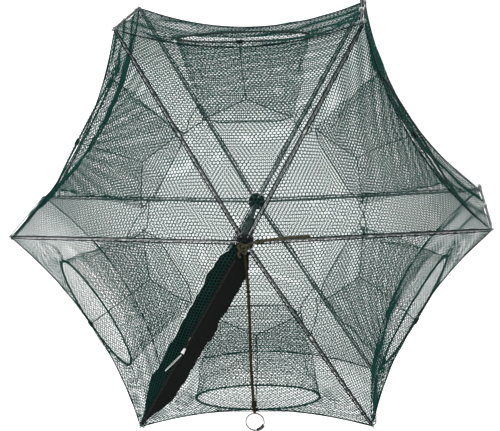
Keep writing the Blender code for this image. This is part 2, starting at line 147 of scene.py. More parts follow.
LAYOUT = Layout.from_joints()


def azimuth(number: float) -> float:
    """Direction of a corner, or of a panel's centre line for a half number."""
    return (number - 1) * 2 * math.pi / SIDES


def turned(number: float) -> Matrix:
    """Turns local X to a corner's or a panel's direction."""
    return Matrix.Rotation(azimuth(number), 4, "Z")


def blend_step(value: float) -> float:
    """A smooth step from 0 to 1."""
    value = max(0.0, min(1.0, value))
    return value * value * (3 - 2 * value)


# Shader groups


class Sockets(Enum):
    """Socket types used in the shader groups."""

    VECTOR = "NodeSocketVector"
    COLOUR = "NodeSocketColor"
    VALUE = "NodeSocketFloat"


@dataclass
class GroupBuilder:
    """A shader node group under construction."""

    name: str
    inputs: Sequence[tuple[str, Sockets]]
    outputs: Sequence[tuple[str, Sockets]]
    tree: bpy.types.NodeTree = field(init=False)

    def __post_init__(self) -> None:
        """Makes the empty group and its sockets."""
        self.tree = bpy.data.node_groups.new(self.name, "ShaderNodeTree")
        for direction, sockets in (("INPUT", self.inputs), ("OUTPUT", self.outputs)):
            for label, kind in sockets:
                self.tree.interface.new_socket(name=label, in_out=direction, socket_type=kind.value)
        self.source = self.tree.nodes.new("NodeGroupInput")
        self.sink = self.tree.nodes.new("NodeGroupOutput")

    def node(self, kind: str, settings: dict | None = None, values: dict | None = None) -> bpy.types.Node:
        """Adds a node, sets its properties and its inputs' values."""
        return add_node(self.tree, kind, settings, values)

    def link(self, start: bpy.types.NodeSocket, end: bpy.types.NodeSocket) -> None:
        """Joins two sockets."""
        self.tree.links.new(start, end)


def add_node(
    tree: bpy.types.NodeTree, kind: str, settings: dict | None = None, values: dict | None = None
) -> bpy.types.Node:
    """Adds a node to a tree.

    Args:
        tree: the tree it goes in.
        kind: the node's type name.
        settings: properties of the node.
        values: default values of its inputs, by name or index.

    Returns:
        The node.
    """
    node = tree.nodes.new(kind)
    for key, value in (settings or {}).items():
        setattr(node, key, value)
    for key, value in (values or {}).items():
        node.inputs[key].default_value = value
    return node


def variation_group() -> bpy.types.NodeTree:
    """Broad and fine mottling between two colours, with matching roughness and height."""
    group = GroupBuilder(
        "mottling",
        [
            ("Place", Sockets.VECTOR),
            ("Base", Sockets.COLOUR),
            ("Worn", Sockets.COLOUR),
            ("Scale", Sockets.VALUE),
            ("Amount", Sockets.VALUE),
            ("Roughness", Sockets.VALUE),
        ],
        [("Colour", Sockets.COLOUR), ("Roughness", Sockets.VALUE), ("Height", Sockets.VALUE)],
    )
    source = group.source.outputs
    broad = group.node("ShaderNodeTexNoise", values={"Detail": 3.0, "Roughness": 0.6})
    fine = group.node("ShaderNodeTexNoise", values={"Detail": 2.0, "Roughness": 0.5})
    times = group.node("ShaderNodeMath", {"operation": "MULTIPLY"}, {1: 9.0})
    group.link(source["Scale"], times.inputs[0])
    group.link(source["Place"], broad.inputs["Vector"])
    group.link(source["Place"], fine.inputs["Vector"])
    group.link(source["Scale"], broad.inputs["Scale"])
    group.link(times.outputs[0], fine.inputs["Scale"])
    both = group.node("ShaderNodeMath", {"operation": "MULTIPLY_ADD"}, {1: 0.35})
    group.link(fine.outputs["Fac"], both.inputs[0])
    group.link(broad.outputs["Fac"], both.inputs[2])
    sharp = group.node("ShaderNodeMapRange", values={"From Min": 0.5, "From Max": 0.9})
    group.link(both.outputs[0], sharp.inputs["Value"])
    share = group.node("ShaderNodeMath", {"operation": "MULTIPLY"})
    group.link(sharp.outputs["Result"], share.inputs[0])
    group.link(source["Amount"], share.inputs[1])
    mix = group.node("ShaderNodeMix", {"data_type": "RGBA"})
    group.link(share.outputs[0], mix.inputs["Factor"])
    group.link(source["Base"], mix.inputs[6])
    group.link(source["Worn"], mix.inputs[7])
    rough = group.node("ShaderNodeMath", {"operation": "MULTIPLY_ADD"}, {1: 0.22})
    group.link(share.outputs[0], rough.inputs[0])
    group.link(source["Roughness"], rough.inputs[2])
    group.link(mix.outputs[2], group.sink.inputs["Colour"])
    group.link(rough.outputs[0], group.sink.inputs["Roughness"])
    group.link(fine.outputs["Fac"], group.sink.inputs["Height"])
    return group.tree


def braid_group() -> bpy.types.NodeTree:
    """Crossing strands of a braid or a weave, from a UV map: a mask of the crowns, which the materials use
    to paint shade into the grooves between them, and a height.
    """
    group = GroupBuilder(
        "braid",
        [("Place", Sockets.VECTOR), ("Strands", Sockets.VALUE)],
        [("Crown", Sockets.VALUE), ("Height", Sockets.VALUE)],
    )
    source = group.source.outputs
    waves = []
    for turn in (math.radians(38), math.radians(-38)):
        spin = group.node("ShaderNodeVectorRotate", {"rotation_type": "Z_AXIS"}, {"Angle": turn})
        wave = group.node("ShaderNodeTexWave", {"wave_profile": "SIN"}, {"Distortion": 0.0})
        group.link(source["Place"], spin.inputs["Vector"])
        group.link(spin.outputs["Vector"], wave.inputs["Vector"])
        group.link(source["Strands"], wave.inputs["Scale"])
        waves.append(wave)
    high = group.node("ShaderNodeMath", {"operation": "MAXIMUM"})
    group.link(waves[0].outputs["Fac"], high.inputs[0])
    group.link(waves[1].outputs["Fac"], high.inputs[1])
    crown = group.node("ShaderNodeMapRange", values={"From Min": 0.45, "From Max": 0.95})
    group.link(high.outputs[0], crown.inputs["Value"])
    group.link(crown.outputs["Result"], group.sink.inputs["Crown"])
    group.link(high.outputs[0], group.sink.inputs["Height"])
    return group.tree


GROUPS: dict[str, bpy.types.NodeTree] = {}


@dataclass(frozen=True)
class Finish:
    """A mottled finish with fine relief, such as plastic, wire or thread."""

    name: str
    slot: str
    base: tuple[float, float, float]
    # The second tone of the mottling. On the steels it is dark and paints reflections.
    worn: tuple[float, float, float]
    roughness: float = 0.5
    metallic: float = 0.0
    scale: float = 60.0
    amount: float = 0.6
    bump: float = 0.15
    relief: float = 0.0002
    sheen: float = 0.0
    coat: float = 0.0
    specular: float = 0.3
    strands: float = 0.0
    # Painted shade: a darker colour laid into the grooves between the braid's crowns.
    groove_shade: tuple[float, float, float] | None = None

    def material(self) -> bpy.types.Material:
        """The material, built once.

        Returns:
            A material whose colour, roughness and normal come from the shader groups.
        """
        found = bpy.data.materials.get(self.name)
        if found is not None:
            return found
        material = bpy.data.materials.new(self.name)
        material.use_nodes = True
        tree = material.node_tree
        shader = tree.nodes["Principled BSDF"]
        shader.inputs["Metallic"].default_value = self.metallic
        shader.inputs["Specular IOR Level"].default_value = self.specular
        shader.inputs["Sheen Weight"].default_value = self.sheen
        shader.inputs["Coat Weight"].default_value = self.coat
        place = add_node(tree, "ShaderNodeTexCoord")
        mottle = add_node(tree, "ShaderNodeGroup", {"node_tree": GROUPS["mottling"]})
        for key, value in {
            "Base": (*self.base, 1.0),
            "Worn": (*self.worn, 1.0),
            "Scale": self.scale,
            "Amount": self.amount,
            "Roughness": self.roughness,
        }.items():
            mottle.inputs[key].default_value = value
        tree.links.new(place.outputs["Object"], mottle.inputs["Place"])
        colour, height = mottle.outputs["Colour"], mottle.outputs["Height"]
        if self.strands:
            braid = add_node(
                tree, "ShaderNodeGroup", {"node_tree": GROUPS["braid"]}, {"Strands": self.strands}
            )
            tree.links.new(place.outputs["UV"], braid.inputs["Place"])
            # The grooves between the crowns take the darker groove colour: painted shade.
            shade = add_node(tree, "ShaderNodeMix", {"data_type": "RGBA"})
            shade.inputs[6].default_value = (*(self.groove_shade or self.base), 1.0)
            tree.links.new(braid.outputs["Crown"], shade.inputs["Factor"])
            tree.links.new(colour, shade.inputs[7])
            colour, height = shade.outputs[2], braid.outputs["Height"]
        tree.links.new(colour, shader.inputs["Base Color"])
        tree.links.new(mottle.outputs["Roughness"], shader.inputs["Roughness"])
        bump = add_node(tree, "ShaderNodeBump", None, {"Strength": self.bump, "Distance": self.relief})
        tree.links.new(height, bump.inputs["Height"])
        tree.links.new(bump.outputs["Normal"], shader.inputs["Normal"])
        return material


NETTING = Finish(
    "netting_green", "green_net", (0.008, 0.054, 0.045), (0.020, 0.108, 0.088), 0.6, 0, 38, specular=0.12
)
FUNNEL_NETTING = Finish(
    "netting_funnel", "funnel_net", (0.008, 0.052, 0.042), (0.020, 0.105, 0.082), 0.6, 0, 38, specular=0.12
)
GATHERED = Finish(
    "netting_gathered", "green_net", (0.012, 0.060, 0.046), (0.030, 0.120, 0.092), 0.6, 0, 90, specular=0.15
)
HEM_CORD = Finish(
    "hem_cord", "green_net", (0.005, 0.014, 0.012), (0.016, 0.036, 0.031), 0.6, 0, 140, specular=0.15
)
LASHING = Finish(
    "lashing_thread", "green_net", (0.004, 0.010, 0.008), (0.014, 0.028, 0.024), 0.6, 0, 160, specular=0.15
)
# Painted reflection: the steel's colours are darkened and mottled dark, to give darker reflections than the
# white sky would.
STEEL = Finish(
    "drawn_steel", "rib_steel", (0.36, 0.38, 0.38), (0.12, 0.135, 0.13), 0.26, 1.0, 70, 0.8, 0.08, coat=0.1
)
HOOP_WIRE = Finish(
    "hoop_coating", "hoop_wire", (0.012, 0.040, 0.031), (0.035, 0.080, 0.064), 0.42, 0, 90, coat=0.2
)
BLACK_NYLON = Finish(
    "black_nylon",
    "black_plastic",
    (0.005, 0.008, 0.008),
    (0.020, 0.026, 0.025),
    0.42,
    scale=110,
    bump=0.25,
    specular=0.25,
)
TAPE = Finish(
    "zip_tape_weave",
    "zip_tape",
    (0.004, 0.006, 0.005),
    (0.014, 0.018, 0.016),
    0.7,
    scale=55,
    bump=0.5,
    specular=0.22,
    strands=420.0,
    # Painted shade in the weave's grooves.
    groove_shade=(0.0015, 0.003, 0.0022),
)
ZIP_TEETH = Finish("zip_teeth", "zip_tape", (0.01, 0.01, 0.01), (0.05, 0.05, 0.05), 0.35, 0, 200, coat=0.2)
WHITE_ACETAL = Finish(
    "white_acetal", "zip_white", (0.80, 0.82, 0.80), (0.62, 0.63, 0.58), 0.4, 0, 180, 0.4, coat=0.2
)
WHITE_THREAD = Finish("white_thread", "zip_white", (0.78, 0.80, 0.77), (0.55, 0.57, 0.53), 0.7, 0, 220)
ROPE = Finish(
    "olive_braid",
    "olive_rope",
    (0.040, 0.036, 0.018),
    (0.125, 0.108, 0.062),
    0.8,
    scale=120,
    bump=0.9,
    relief=0.0005,
    specular=0.15,
    strands=330.0,
    # Painted shade in the braid's grooves.
    groove_shade=(0.008, 0.008, 0.004),
)
# A lighter copy of the rope's colour, for the knot and the cut end, which look lighter than the rest; on
# the knot it also paints its highlights.
ROPE_LIGHTER = Finish(
    "olive_braid_bleached",
    "olive_rope",
    (0.105, 0.098, 0.060),
    (0.260, 0.245, 0.175),
    0.8,
    scale=200,
    bump=0.9,
    relief=0.0005,
    specular=0.15,
    strands=330.0,
    # Painted shade in the braid's grooves.
    groove_shade=(0.020, 0.019, 0.011),
)
# Painted reflection: the ring's colours are mottled towards near black, to give darker reflections than the
# white sky would.
RING_STEEL = Finish(
    "zinc_plate", "ring_steel", (0.46, 0.45, 0.41), (0.05, 0.05, 0.045), 0.2, 1.0, 230, 1.0, 0.06
)


# Making and dressing pieces


def new_piece(
    name: str, mesh: bpy.types.Mesh, finish: Finish, body: str, smooth: bool = True
) -> bpy.types.Object:
    """Links a finished mesh as a piece, dresses it and makes it ride.

    Args:
        name: the piece's name.
        mesh: its mesh, already in place.
        finish: what it is made of.
        body: the body that it moves with.
        smooth: whether its faces are shaded smooth.

    Returns:
        The piece.
    """
    piece = bpy.data.objects.new(name, mesh)
    bpy.context.scene.collection.objects.link(piece)
    mesh.materials.clear()
    mesh.materials.append(finish.material())
    if smooth:
        mesh.shade_smooth()
        mesh.set_sharp_from_angle(angle=math.radians(50))
    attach(piece, body)
    log.info("%s: %d faces on %s", name, len(mesh.polygons), body)
    return piece


def mesh_from(name: str, shape: bmesh.types.BMesh, matrix: Matrix | None = None) -> bpy.types.Mesh:
    """Turns a bmesh into a mesh, in place, and frees it."""
    mesh = bpy.data.meshes.new(name)
    if matrix is not None:
        bmesh.ops.transform(shape, matrix=matrix, verts=shape.verts)
    shape.to_mesh(mesh)
    shape.free()
    return mesh


def strands(
    name: str, paths: Iterable[Sequence[Vector]], radius: float, closed: bool = False, sides: int = 1
) -> bpy.types.Mesh:
    """Round threads or cords along paths, as one mesh with UVs along and around them.

    Args:
        name: the mesh's name.
        paths: the centre lines.
        radius: the thread's radius.
        closed: whether each path is a loop.
        sides: the curve's bevel resolution, 1 for six sides and 2 for eight.

    Returns:
        A mesh of closed tubes.
    """
    curve = bpy.data.curves.new(name, "CURVE")
    curve.dimensions = "3D"
    curve.bevel_depth = radius
    curve.bevel_resolution = sides
    curve.use_fill_caps = not closed
    for path in paths:
        spline = curve.splines.new("POLY")
        spline.points.add(len(path) - 1)
        for point, place in zip(spline.points, path):
            point.co = (*place, 1.0)
        spline.use_cyclic_u = closed
    item = bpy.data.objects.new(name, curve)
    bpy.context.scene.collection.objects.link(item)
    bpy.context.view_layer.update()
    source = item.evaluated_get(bpy.context.evaluated_depsgraph_get())
    mesh = bpy.data.meshes.new_from_object(source)
    bpy.data.objects.remove(item, do_unlink=True)
    shape = bmesh.new()
    shape.from_mesh(mesh)
    bmesh.ops.remove_doubles(shape, verts=shape.verts, dist=radius * 0.01)
    bmesh.ops.recalc_face_normals(shape, faces=shape.faces)
    shape.to_mesh(mesh)
    shape.free()
    mesh.name = name
    return mesh


def line_piece(
    name: str,
    paths: Sequence[Path],
    radius: float,
    finish: Finish,
    body: str,
    closed: bool = False,
    sides: int = 1,
) -> bpy.types.Object:
    """A dressed piece of round wire, cord or thread along paths."""
    return new_piece(name, strands(name, paths, radius, closed, sides), finish, body)


def placed(turn: Matrix, paths: Iterable[Path]) -> list[Path]:
    """The paths, turned into place."""
    return [[turn @ point for point in path] for path in paths]


def smooth_path(points: Sequence[Sequence[float]], steps: int) -> Path:
    """A smooth curve through the points (Catmull-Rom), with that many steps between two of them."""
    knots = [Vector(p) for p in points]
    knots = [knots[0] * 2 - knots[1], *knots, knots[-1] * 2 - knots[-2]]
    path: Path = []
    for a, b, c, d in zip(knots, knots[1:], knots[2:], knots[3:]):
        for step in range(steps):
            t = step / steps
            bend = 2 * b + (c - a) * t + (2 * a - 5 * b + 4 * c - d) * t * t
            path.append(0.5 * (bend + (3 * b - a - 3 * c + d) * t**3))
    return [*path, knots[-2]]


def path_length(path: Sequence[Vector]) -> float:
    """Length along a path."""
    return sum((b - a).length for a, b in zip(path, path[1:]))


def coil_round(path: Sequence[Vector], radius: float, pitch: float, steps: int = 8) -> Path:
    """A helix round a path, for a lashing."""
    total = path_length(path)
    count = max(steps, int(total / pitch * steps))
    lengths = [0.0]
    for a, b in zip(path, path[1:]):
        lengths.append(lengths[-1] + (b - a).length)
    coil: Path = []
    segment = 0
    for step in range(count + 1):
        along = total * step / count
        while segment < len(path) - 2 and lengths[segment + 1] < along:
            segment += 1
        a, b = path[segment], path[segment + 1]
        centre = a.lerp(b, (along - lengths[segment]) / max(1e-9, (b - a).length))
        direction = (b - a).normalized()
        side = direction.cross(Vector((0, 0, 1)))
        side = side.normalized() if side.length > 0.1 else direction.cross(Vector((1, 0, 0))).normalized()
        up = side.cross(direction)
        angle = 2 * math.pi * step / steps
        coil.append(centre + side * radius * math.cos(angle) + up * radius * math.sin(angle))
    return coil


def ripple(place: Vector, seed: float, scale: float, amount: float) -> float:
    """A small smooth offset that depends on the place."""
    return amount * noise.noise(place * scale + Vector((seed, -seed, 2 * seed)))


# Netting


@dataclass(frozen=True)
class Netting:
    """Knotless netting with six-sided meshes."""

    pitch: float
    thread: float

    @property
    def row(self) -> float:
        """Distance between two rows of meshes."""
        return self.pitch * math.sqrt(3) / 2

    def cloth(self, width: float, length: float, round_seam: bool = False) -> bmesh.types.BMesh:
        """A flat sheet of meshes, X across and Y along, from (0, 0) to (width, length).

        Args:
            width: the sheet's width.
            length: the sheet's length.
            round_seam: whether the columns must close on themselves round a tube.

        Returns:
            A bmesh whose edges are the threads.
        """
        columns = 2 * max(2, round(width / self.pitch))
        rows = max(2, round(length / self.row))
        shape = bmesh.new()
        bmesh.ops.create_grid(shape, x_segments=columns, y_segments=rows, size=0.5)
        shape.verts.ensure_lookup_table()
        place = {vert: (vert.index % (columns + 1), vert.index // (columns + 1)) for vert in shape.verts}
        spare = []
        for edge in shape.edges:
            (i, j), (k, m) = (place[vert] for vert in edge.verts)
            if i == k and (i + min(j, m)) % 2 and not edge.is_boundary:
                spare.append(edge)
        lift = self.pitch / math.sqrt(3) / 4
        for vert, (i, j) in place.items():
            step = lift if (i + j) % 2 == 0 else -lift
            if not round_seam and j in (0, rows):
                step = 0.0
            vert.co = (width * i / columns, length * j / rows + step, 0)
        bmesh.ops.dissolve_edges(shape, edges=spare, use_verts=False, use_face_split=False)
        return shape

    def knit(self, piece: bpy.types.Object) -> bpy.types.Object:
        """Turns the sheet's edges into threads."""
        threads = piece.modifiers.new("threads", "WIREFRAME")
        threads.thickness = self.thread
        threads.use_even_offset = False
        threads.use_boundary = True
        threads.use_replace = True
        return piece


def thread_share(piece: bpy.types.Object) -> float:
    """Half the surface of a piece's threads, which is what their flat area comes to."""
    bpy.context.view_layer.update()
    source = piece.evaluated_get(bpy.context.evaluated_depsgraph_get())
    mesh = source.to_mesh()
    area = sum(face.area for face in mesh.polygons) / 2
    source.to_mesh_clear()
    return area


def declare_net(
    piece: bpy.types.Object, flat: tuple[float, float]
) -> None:
    """Works out a stretched net's thread area, without the holes between, held between the least thread
    share of the flat area and the whole of it. Nothing uses it.
    """
    limits = (LEAST_THREAD_SHARE * flat[0] * flat[1], flat[0] * flat[1])
    area = max(limits[0], min(limits[1], thread_share(piece)))


def fold_in(piece: bpy.types.Object) -> None:
    """Gives a piece its own copy of its mesh."""
    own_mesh(piece)


@dataclass
class Cover:
    """The six panels of the top or the bottom net, with their hem cords."""

    layer: Layer
    netting: Netting
    inner: float = 0.0165
    seam_gap: float = 0.0030
    drape: float = 0.007
    hem: float = 0.0011
    gathering: float = 0.38
    warp_power: float = 3.0
    cut_share: float = 0.93
    cut_width: float = 1.1

    def surface(self, radius: float, across: float, number: int) -> Vector:
        """A point of the draped net, in a panel's own frame.

        Args:
            radius: distance along the centre line before the rim is drawn in.
            across: distance to the side of the centre line.
            number: the panel, which varies the folds.

        Returns:
            The point, with X along the panel's centre line.
        """
        half = max(1e-4, radius * math.tan(math.pi / SIDES))
        share = min(1.0, abs(across) / half)
        reach = max(0.0, min(1.0, radius / LAYOUT.mid_side))
        drawn = radius - LAYOUT.sag(self.layer) * (1 - share**2) * reach**self.warp_power
        height = LAYOUT.plane(drawn, LAYOUT.hub(self.layer)) + LAYOUT.offset(self.layer)
        belly = (1 - share**2) ** 1.5 * math.sin(math.pi * reach) ** 0.8
        sink = self.drape if self.layer is Layer.TOP else -0.35 * self.drape
        height -= sink * belly
        place = Vector((radius, across, 0))
        seed = 3.1 * number + LAYOUT.hub(self.layer)
        height += ripple(place, seed, 22, 0.0022) * belly
        side = ripple(place, 2 * seed, 14, 0.004) * belly
        return Vector((drawn + 0.5 * side, across + side, height))

    def panel_mesh(self, number: int) -> bpy.types.Mesh:
        """One panel's netting, cut along its ribs and drawn in at its rim."""
        reach = LAYOUT.mid_side - self.inner
        width = 2 * LAYOUT.half_side + 2 * self.netting.pitch
        shape = self.netting.cloth(width, reach * (1 + self.gathering))
        for vert in shape.verts:
            across = vert.co.x - width / 2
            share = vert.co.y / reach / (1 + self.gathering)
            share *= 1 + self.gathering * (1 - share)
            vert.co = (self.inner + reach * share, across, 0)
        for side in (-1, 1):
            seam = Matrix.Rotation(side * math.pi / SIDES, 3, "Z") @ Vector((0, side, 0))
            bmesh.ops.bisect_plane(
                shape,
                geom=[*shape.verts, *shape.edges, *shape.faces],
                plane_co=-seam * self.seam_gap,
                plane_no=seam,
                clear_outer=True,
                dist=0.0003,
            )
        for vert in shape.verts:
            vert.co = self.surface(vert.co.x, vert.co.y, number)
        return mesh_from(f"{self.layer.value}_netting", shape, turned(number + 0.5))

    def hem_path(self, number: int) -> Path:
        """The hem round a panel: out along one rib, along the rim and back along the other rib."""
        slope = math.tan(math.pi / SIDES)
        gap = self.seam_gap / math.cos(math.pi / SIDES)
        rim = 0.994 * LAYOUT.half_side
        ribs = [self.inner + (LAYOUT.mid_side - self.inner) * step / 14 for step in range(14)]
        path = [self.surface(radius, -(radius * slope - gap), number) for radius in ribs]
        path += [self.surface(LAYOUT.mid_side, rim * (step / 18 - 1), number) for step in range(37)]
        path += [self.surface(radius, radius * slope - gap, number) for radius in reversed(ribs)]
        return path

    def build(self) -> None:
        """Makes the panels and their hems."""
        for number in range(1, SIDES + 1):
            node = f"{self.layer.value}_net_{number}"
            panel = new_piece(f"{node}_mesh", self.panel_mesh(number), NETTING, node, smooth=False)
            self.netting.knit(panel)
            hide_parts(node)
            paths = placed(turned(number + 0.5), [self.hem_path(number)])
            hem = line_piece(f"{node}_hem", paths, self.hem, HEM_CORD, node)
            for piece in (panel, hem):
                fold_in(piece)
            area = self.cut_share * LAYOUT.mid_side * LAYOUT.half_side
            width = self.cut_width * LAYOUT.half_side
            declare_net(panel, (width, area / width))


@dataclass
class Entry:
    """One side of the trap: its wall net, the hoop and the funnel that leads in from it."""

    netting: Netting = field(default_factory=lambda: Netting(0.0070, 0.00078))
    funnel_netting: Netting = field(default_factory=lambda: Netting(0.0078, 0.00080))
    half_width: float = field(init=False)
    half_height: float = field(init=False)
    hoop_radius: float = field(init=False)
    hoop_height: float = field(init=False)
    wire: float = 0.0015
    lower_lip: float = 0.170
    upper_lip: float = 0.216
    lip_half_width: float = 0.080
    lower_lip_height: float = 0.150
    upper_lip_height: float = 0.178
    gather_threads: int = 9
    tie_radius: float = 0.205

    def __post_init__(self) -> None:
        """Reads the hoop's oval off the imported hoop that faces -Y."""
        low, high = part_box("entry_hoop_5")
        self.half_width = (high.x - low.x) / 2 - self.wire
        self.half_height = (high.z - low.z) / 2 - self.wire
        self.hoop_radius = -(low.y + high.y) / 2
        self.hoop_height = (low.z + high.z) / 2

    def wall_point(self, across: float, share: float) -> Vector:
        """A point of the wall net: across the side, and a share of its height from the bottom rim."""
        high, low = LAYOUT.rim(across, Layer.TOP), LAYOUT.rim(across, Layer.BOTTOM)
        point = low.lerp(high, share)
        near = 1 - blend_step((self.reach(point) - 1) / 0.55)
        point.x -= 0.006 * math.sin(math.pi * share) * (1 - (across / LAYOUT.half_side) ** 2)
        point.x += (self.hoop_radius - point.x) * near
        return point

    def wall_mesh(self, number: int) -> bpy.types.Mesh:
        """The wall's netting, with the oval hole for the hoop."""
        width = 2 * (LAYOUT.half_side - 0.003)
        length = LAYOUT.top_hub - LAYOUT.bottom_hub
        shape = self.netting.cloth(width, length)
        for vert in shape.verts:
            share = max(0.0, min(1.0, vert.co.y / length))
            vert.co = self.wall_point(vert.co.x - width / 2, share)
        inside = [face for face in shape.faces if self.reach(face.calc_center_median()) < 1.0]
        bmesh.ops.delete(shape, geom=inside, context="FACES")
        for vert in shape.verts:
            reach = self.reach(vert.co)
            if vert.is_boundary and reach < 1.25:
                vert.co.y /= reach
                vert.co.z = self.hoop_height + (vert.co.z - self.hoop_height) / reach
                vert.co.x = self.hoop_radius
            elif reach > 1.05:
                vert.co.x += ripple(vert.co, 2.3 * number, 18, 0.004)
        return mesh_from("wall_netting", shape, turned(number + 0.5))

    def reach(self, point: Vector) -> float:
        """Distance from the hoop's centre as a share of the hoop's oval."""
        return math.hypot(point.y / self.half_width, (point.z - self.hoop_height) / self.half_height)

    def funnel_point(self, angle: float, share: float, number: int) -> Vector:
        """A point of the funnel: an angle round the hoop's oval, and a share of the way in to the lip."""
        across, rise = math.cos(angle), math.sin(angle)
        point = Vector((self.hoop_radius, self.half_width * across, 0))
        point.z = self.hoop_height + self.half_height * rise
        point = point.lerp(self.lip_point(angle), share)
        slack = math.sin(math.pi * share)
        point.z -= 0.006 * slack * max(0.0, rise) + 0.004 * slack
        place = Vector((math.cos(angle) * 2, math.sin(angle) * 2, share * 2))
        wave = ripple(place, 1.7 * number, 2.4, 0.008) * slack
        return point + Vector((0, wave * across, wave * rise))

    def lip_point(self, angle: float) -> Vector:
        """A point of the funnel's flat inner mouth: a straight lower lip and a notched upper lip."""
        turn = (angle / (2 * math.pi)) % 1.0
        upper = turn < 0.5
        spread = 1 - 4 * turn if upper else 4 * turn - 3
        open_share = 1 - abs(spread)
        middle = (self.lower_lip_height + self.upper_lip_height) / 2
        gap = (self.upper_lip_height - self.lower_lip_height) / 2 * min(1.0, 3 * open_share)
        radius = self.lower_lip + 0.010
        radius += (self.upper_lip - radius) * open_share if upper else -0.010 * min(1.0, 3 * open_share)
        return Vector((radius, self.lip_half_width * spread, middle + (gap if upper else -gap)))

    def funnel_mesh(self, number: int) -> bpy.types.Mesh:
        """The funnel's netting, closed round the hoop."""
        width, height = self.half_width, self.half_height
        around = math.pi * (3 * (width + height) - math.sqrt((3 * width + height) * (width + 3 * height)))
        length = self.hoop_radius - self.lower_lip
        shape = self.funnel_netting.cloth(around, length, round_seam=True)
        for vert in shape.verts:
            angle = 2 * math.pi * vert.co.x / around
            share = max(0.0, min(1.0, vert.co.y / length))
            vert.co = self.funnel_point(angle, share, number)
        bmesh.ops.remove_doubles(shape, verts=shape.verts, dist=0.0001)
        return mesh_from("funnel_netting", shape, turned(number + 0.5))

    def lip_path(self, number: int) -> Path:
        """The cord round the funnel's inner mouth."""
        return [self.funnel_point(2 * math.pi * step / 64, 1.0, number) for step in range(64)]

    def hoop_path(self, count: int = 96) -> Path:
        """The hoop's centre line."""
        path = []
        for step in range(count):
            angle = 2 * math.pi * step / count
            height = self.hoop_height + self.half_height * math.sin(angle)
            path.append(Vector((self.hoop_radius, self.half_width * math.cos(angle), height)))
        return path

    def tie_paths(self, number: int) -> list[Path]:
        """The strings that hold the funnel open: one to the hoop's top and two to the ribs."""
        apex = self.funnel_point(math.pi / 2, 1.0, number)
        top = Vector((self.hoop_radius - 0.002, 0, self.hoop_height + self.half_height))
        middle = apex.lerp(top, 0.5) + Vector((0, 0.002, -0.006))
        paths = [smooth_path([apex, middle, top], 8)]
        for side in (-1, 1):
            corner = Vector((self.lower_lip + 0.002, side * self.lip_half_width, 0))
            corner.z = self.lower_lip_height + 0.010
            across = side * (self.tie_radius * math.sin(math.pi / SIDES) - 0.003)
            along = self.tie_radius * math.cos(math.pi / SIDES)
            high = Vector((along, across, LAYOUT.plane(along, LAYOUT.top_hub) - 0.002))
            low = Vector((along, across, LAYOUT.plane(along, LAYOUT.bottom_hub) + 0.002))
            for end, drop in ((high, 0.010), (low, 0.006)):
                middle = corner.lerp(end, 0.5) + Vector((0.004, -side * 0.004, -drop))
                paths.append(smooth_path([corner, middle, end], 8))
        return paths

    def gather_paths(self, number: int) -> list[Path]:
        """Threads bunched where the wall is drawn in to the hoop's two ends."""
        paths = []
        for side in (-1, 1):
            tip = Vector((self.hoop_radius, side * self.half_width, self.hoop_height))
            for step in range(self.gather_threads):
                spread = 2 * step / (self.gather_threads - 1) - 1
                wide = tip + Vector((0, side * (0.040 - 0.018 * abs(spread)), 0.052 * spread))
                share = (wide.z - LAYOUT.rim(wide.y, Layer.BOTTOM).z) / (LAYOUT.top_hub - LAYOUT.bottom_hub)
                wide = self.wall_point(wide.y, share)
                start = tip + Vector((0, -side * 0.006 * spread**2, 0.012 * spread))
                middle = start.lerp(wide, 0.5)
                middle.z += ripple(middle, number + 3.7 * step, 60, 0.002)
                middle.x += ripple(middle, number + 1.9 * step, 60, 0.0015)
                paths.append(smooth_path([start, middle, wide], 4))
        return paths

    def hoop_knot(self) -> Path:
        """The lashing at the middle of the hoop's top."""
        ends = [Vector((self.hoop_radius, y, self.hoop_height + self.half_height)) for y in (-0.005, 0.005)]
        return coil_round(ends, self.wire + 0.0012, 0.0014)

    def build(self) -> None:
        """Makes the six sides."""
        for number in range(1, SIDES + 1):
            self.build_side(number)

    def build_side(self, number: int) -> None:
        """Makes one side's wall, hoop, funnel and strings."""
        body, turn = f"side_{number}", turned(number + 0.5)
        wall = new_piece(f"side_net_{number}_mesh", self.wall_mesh(number), NETTING, body, smooth=False)
        self.netting.knit(wall)
        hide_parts(f"side_net_{number}")
        funnel = new_piece(
            f"funnel_net_{number}_mesh", self.funnel_mesh(number), FUNNEL_NETTING, body, smooth=False
        )
        self.funnel_netting.knit(funnel)
        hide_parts(f"funnel_net_{number}")
        hoop_name = f"entry_hoop_{number}"
        hoop_paths = placed(turn, [self.hoop_path()])
        hoop = line_piece(f"{hoop_name}_wire", hoop_paths, self.wire, HOOP_WIRE, body, closed=True, sides=2)
        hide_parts(hoop_name)
        coil = coil_round([*hoop_paths[0], hoop_paths[0][0]], self.wire + 0.0006, 0.0062)
        lashing = line_piece(f"{hoop_name}_lashing", [coil], 0.0005, LASHING, body)
        paths = placed(turn, [self.lip_path(number)])
        lip = line_piece(f"funnel_lip_{number}", paths, 0.0008, HEM_CORD, body, closed=True)
        paths = placed(turn, self.tie_paths(number))
        strings = line_piece(f"funnel_strings_{number}", paths, 0.0008, LASHING, body)
        paths = placed(turn, self.gather_paths(number))
        gather = line_piece(f"hoop_gather_{number}", paths, 0.00042, GATHERED, body)
        paths = placed(turn, [self.hoop_knot()])
        tie = line_piece(f"hoop_knot_{number}", paths, 0.0008, LASHING, body)
        for piece in (wall, funnel, hoop, lashing, lip, strings, gather, tie):
            fold_in(piece)
        height = LAYOUT.top_hub - LAYOUT.bottom_hub
        declare_net(wall, (2 * LAYOUT.half_side, 0.86 * height))
        declare_net(funnel, (0.45, 0.15))


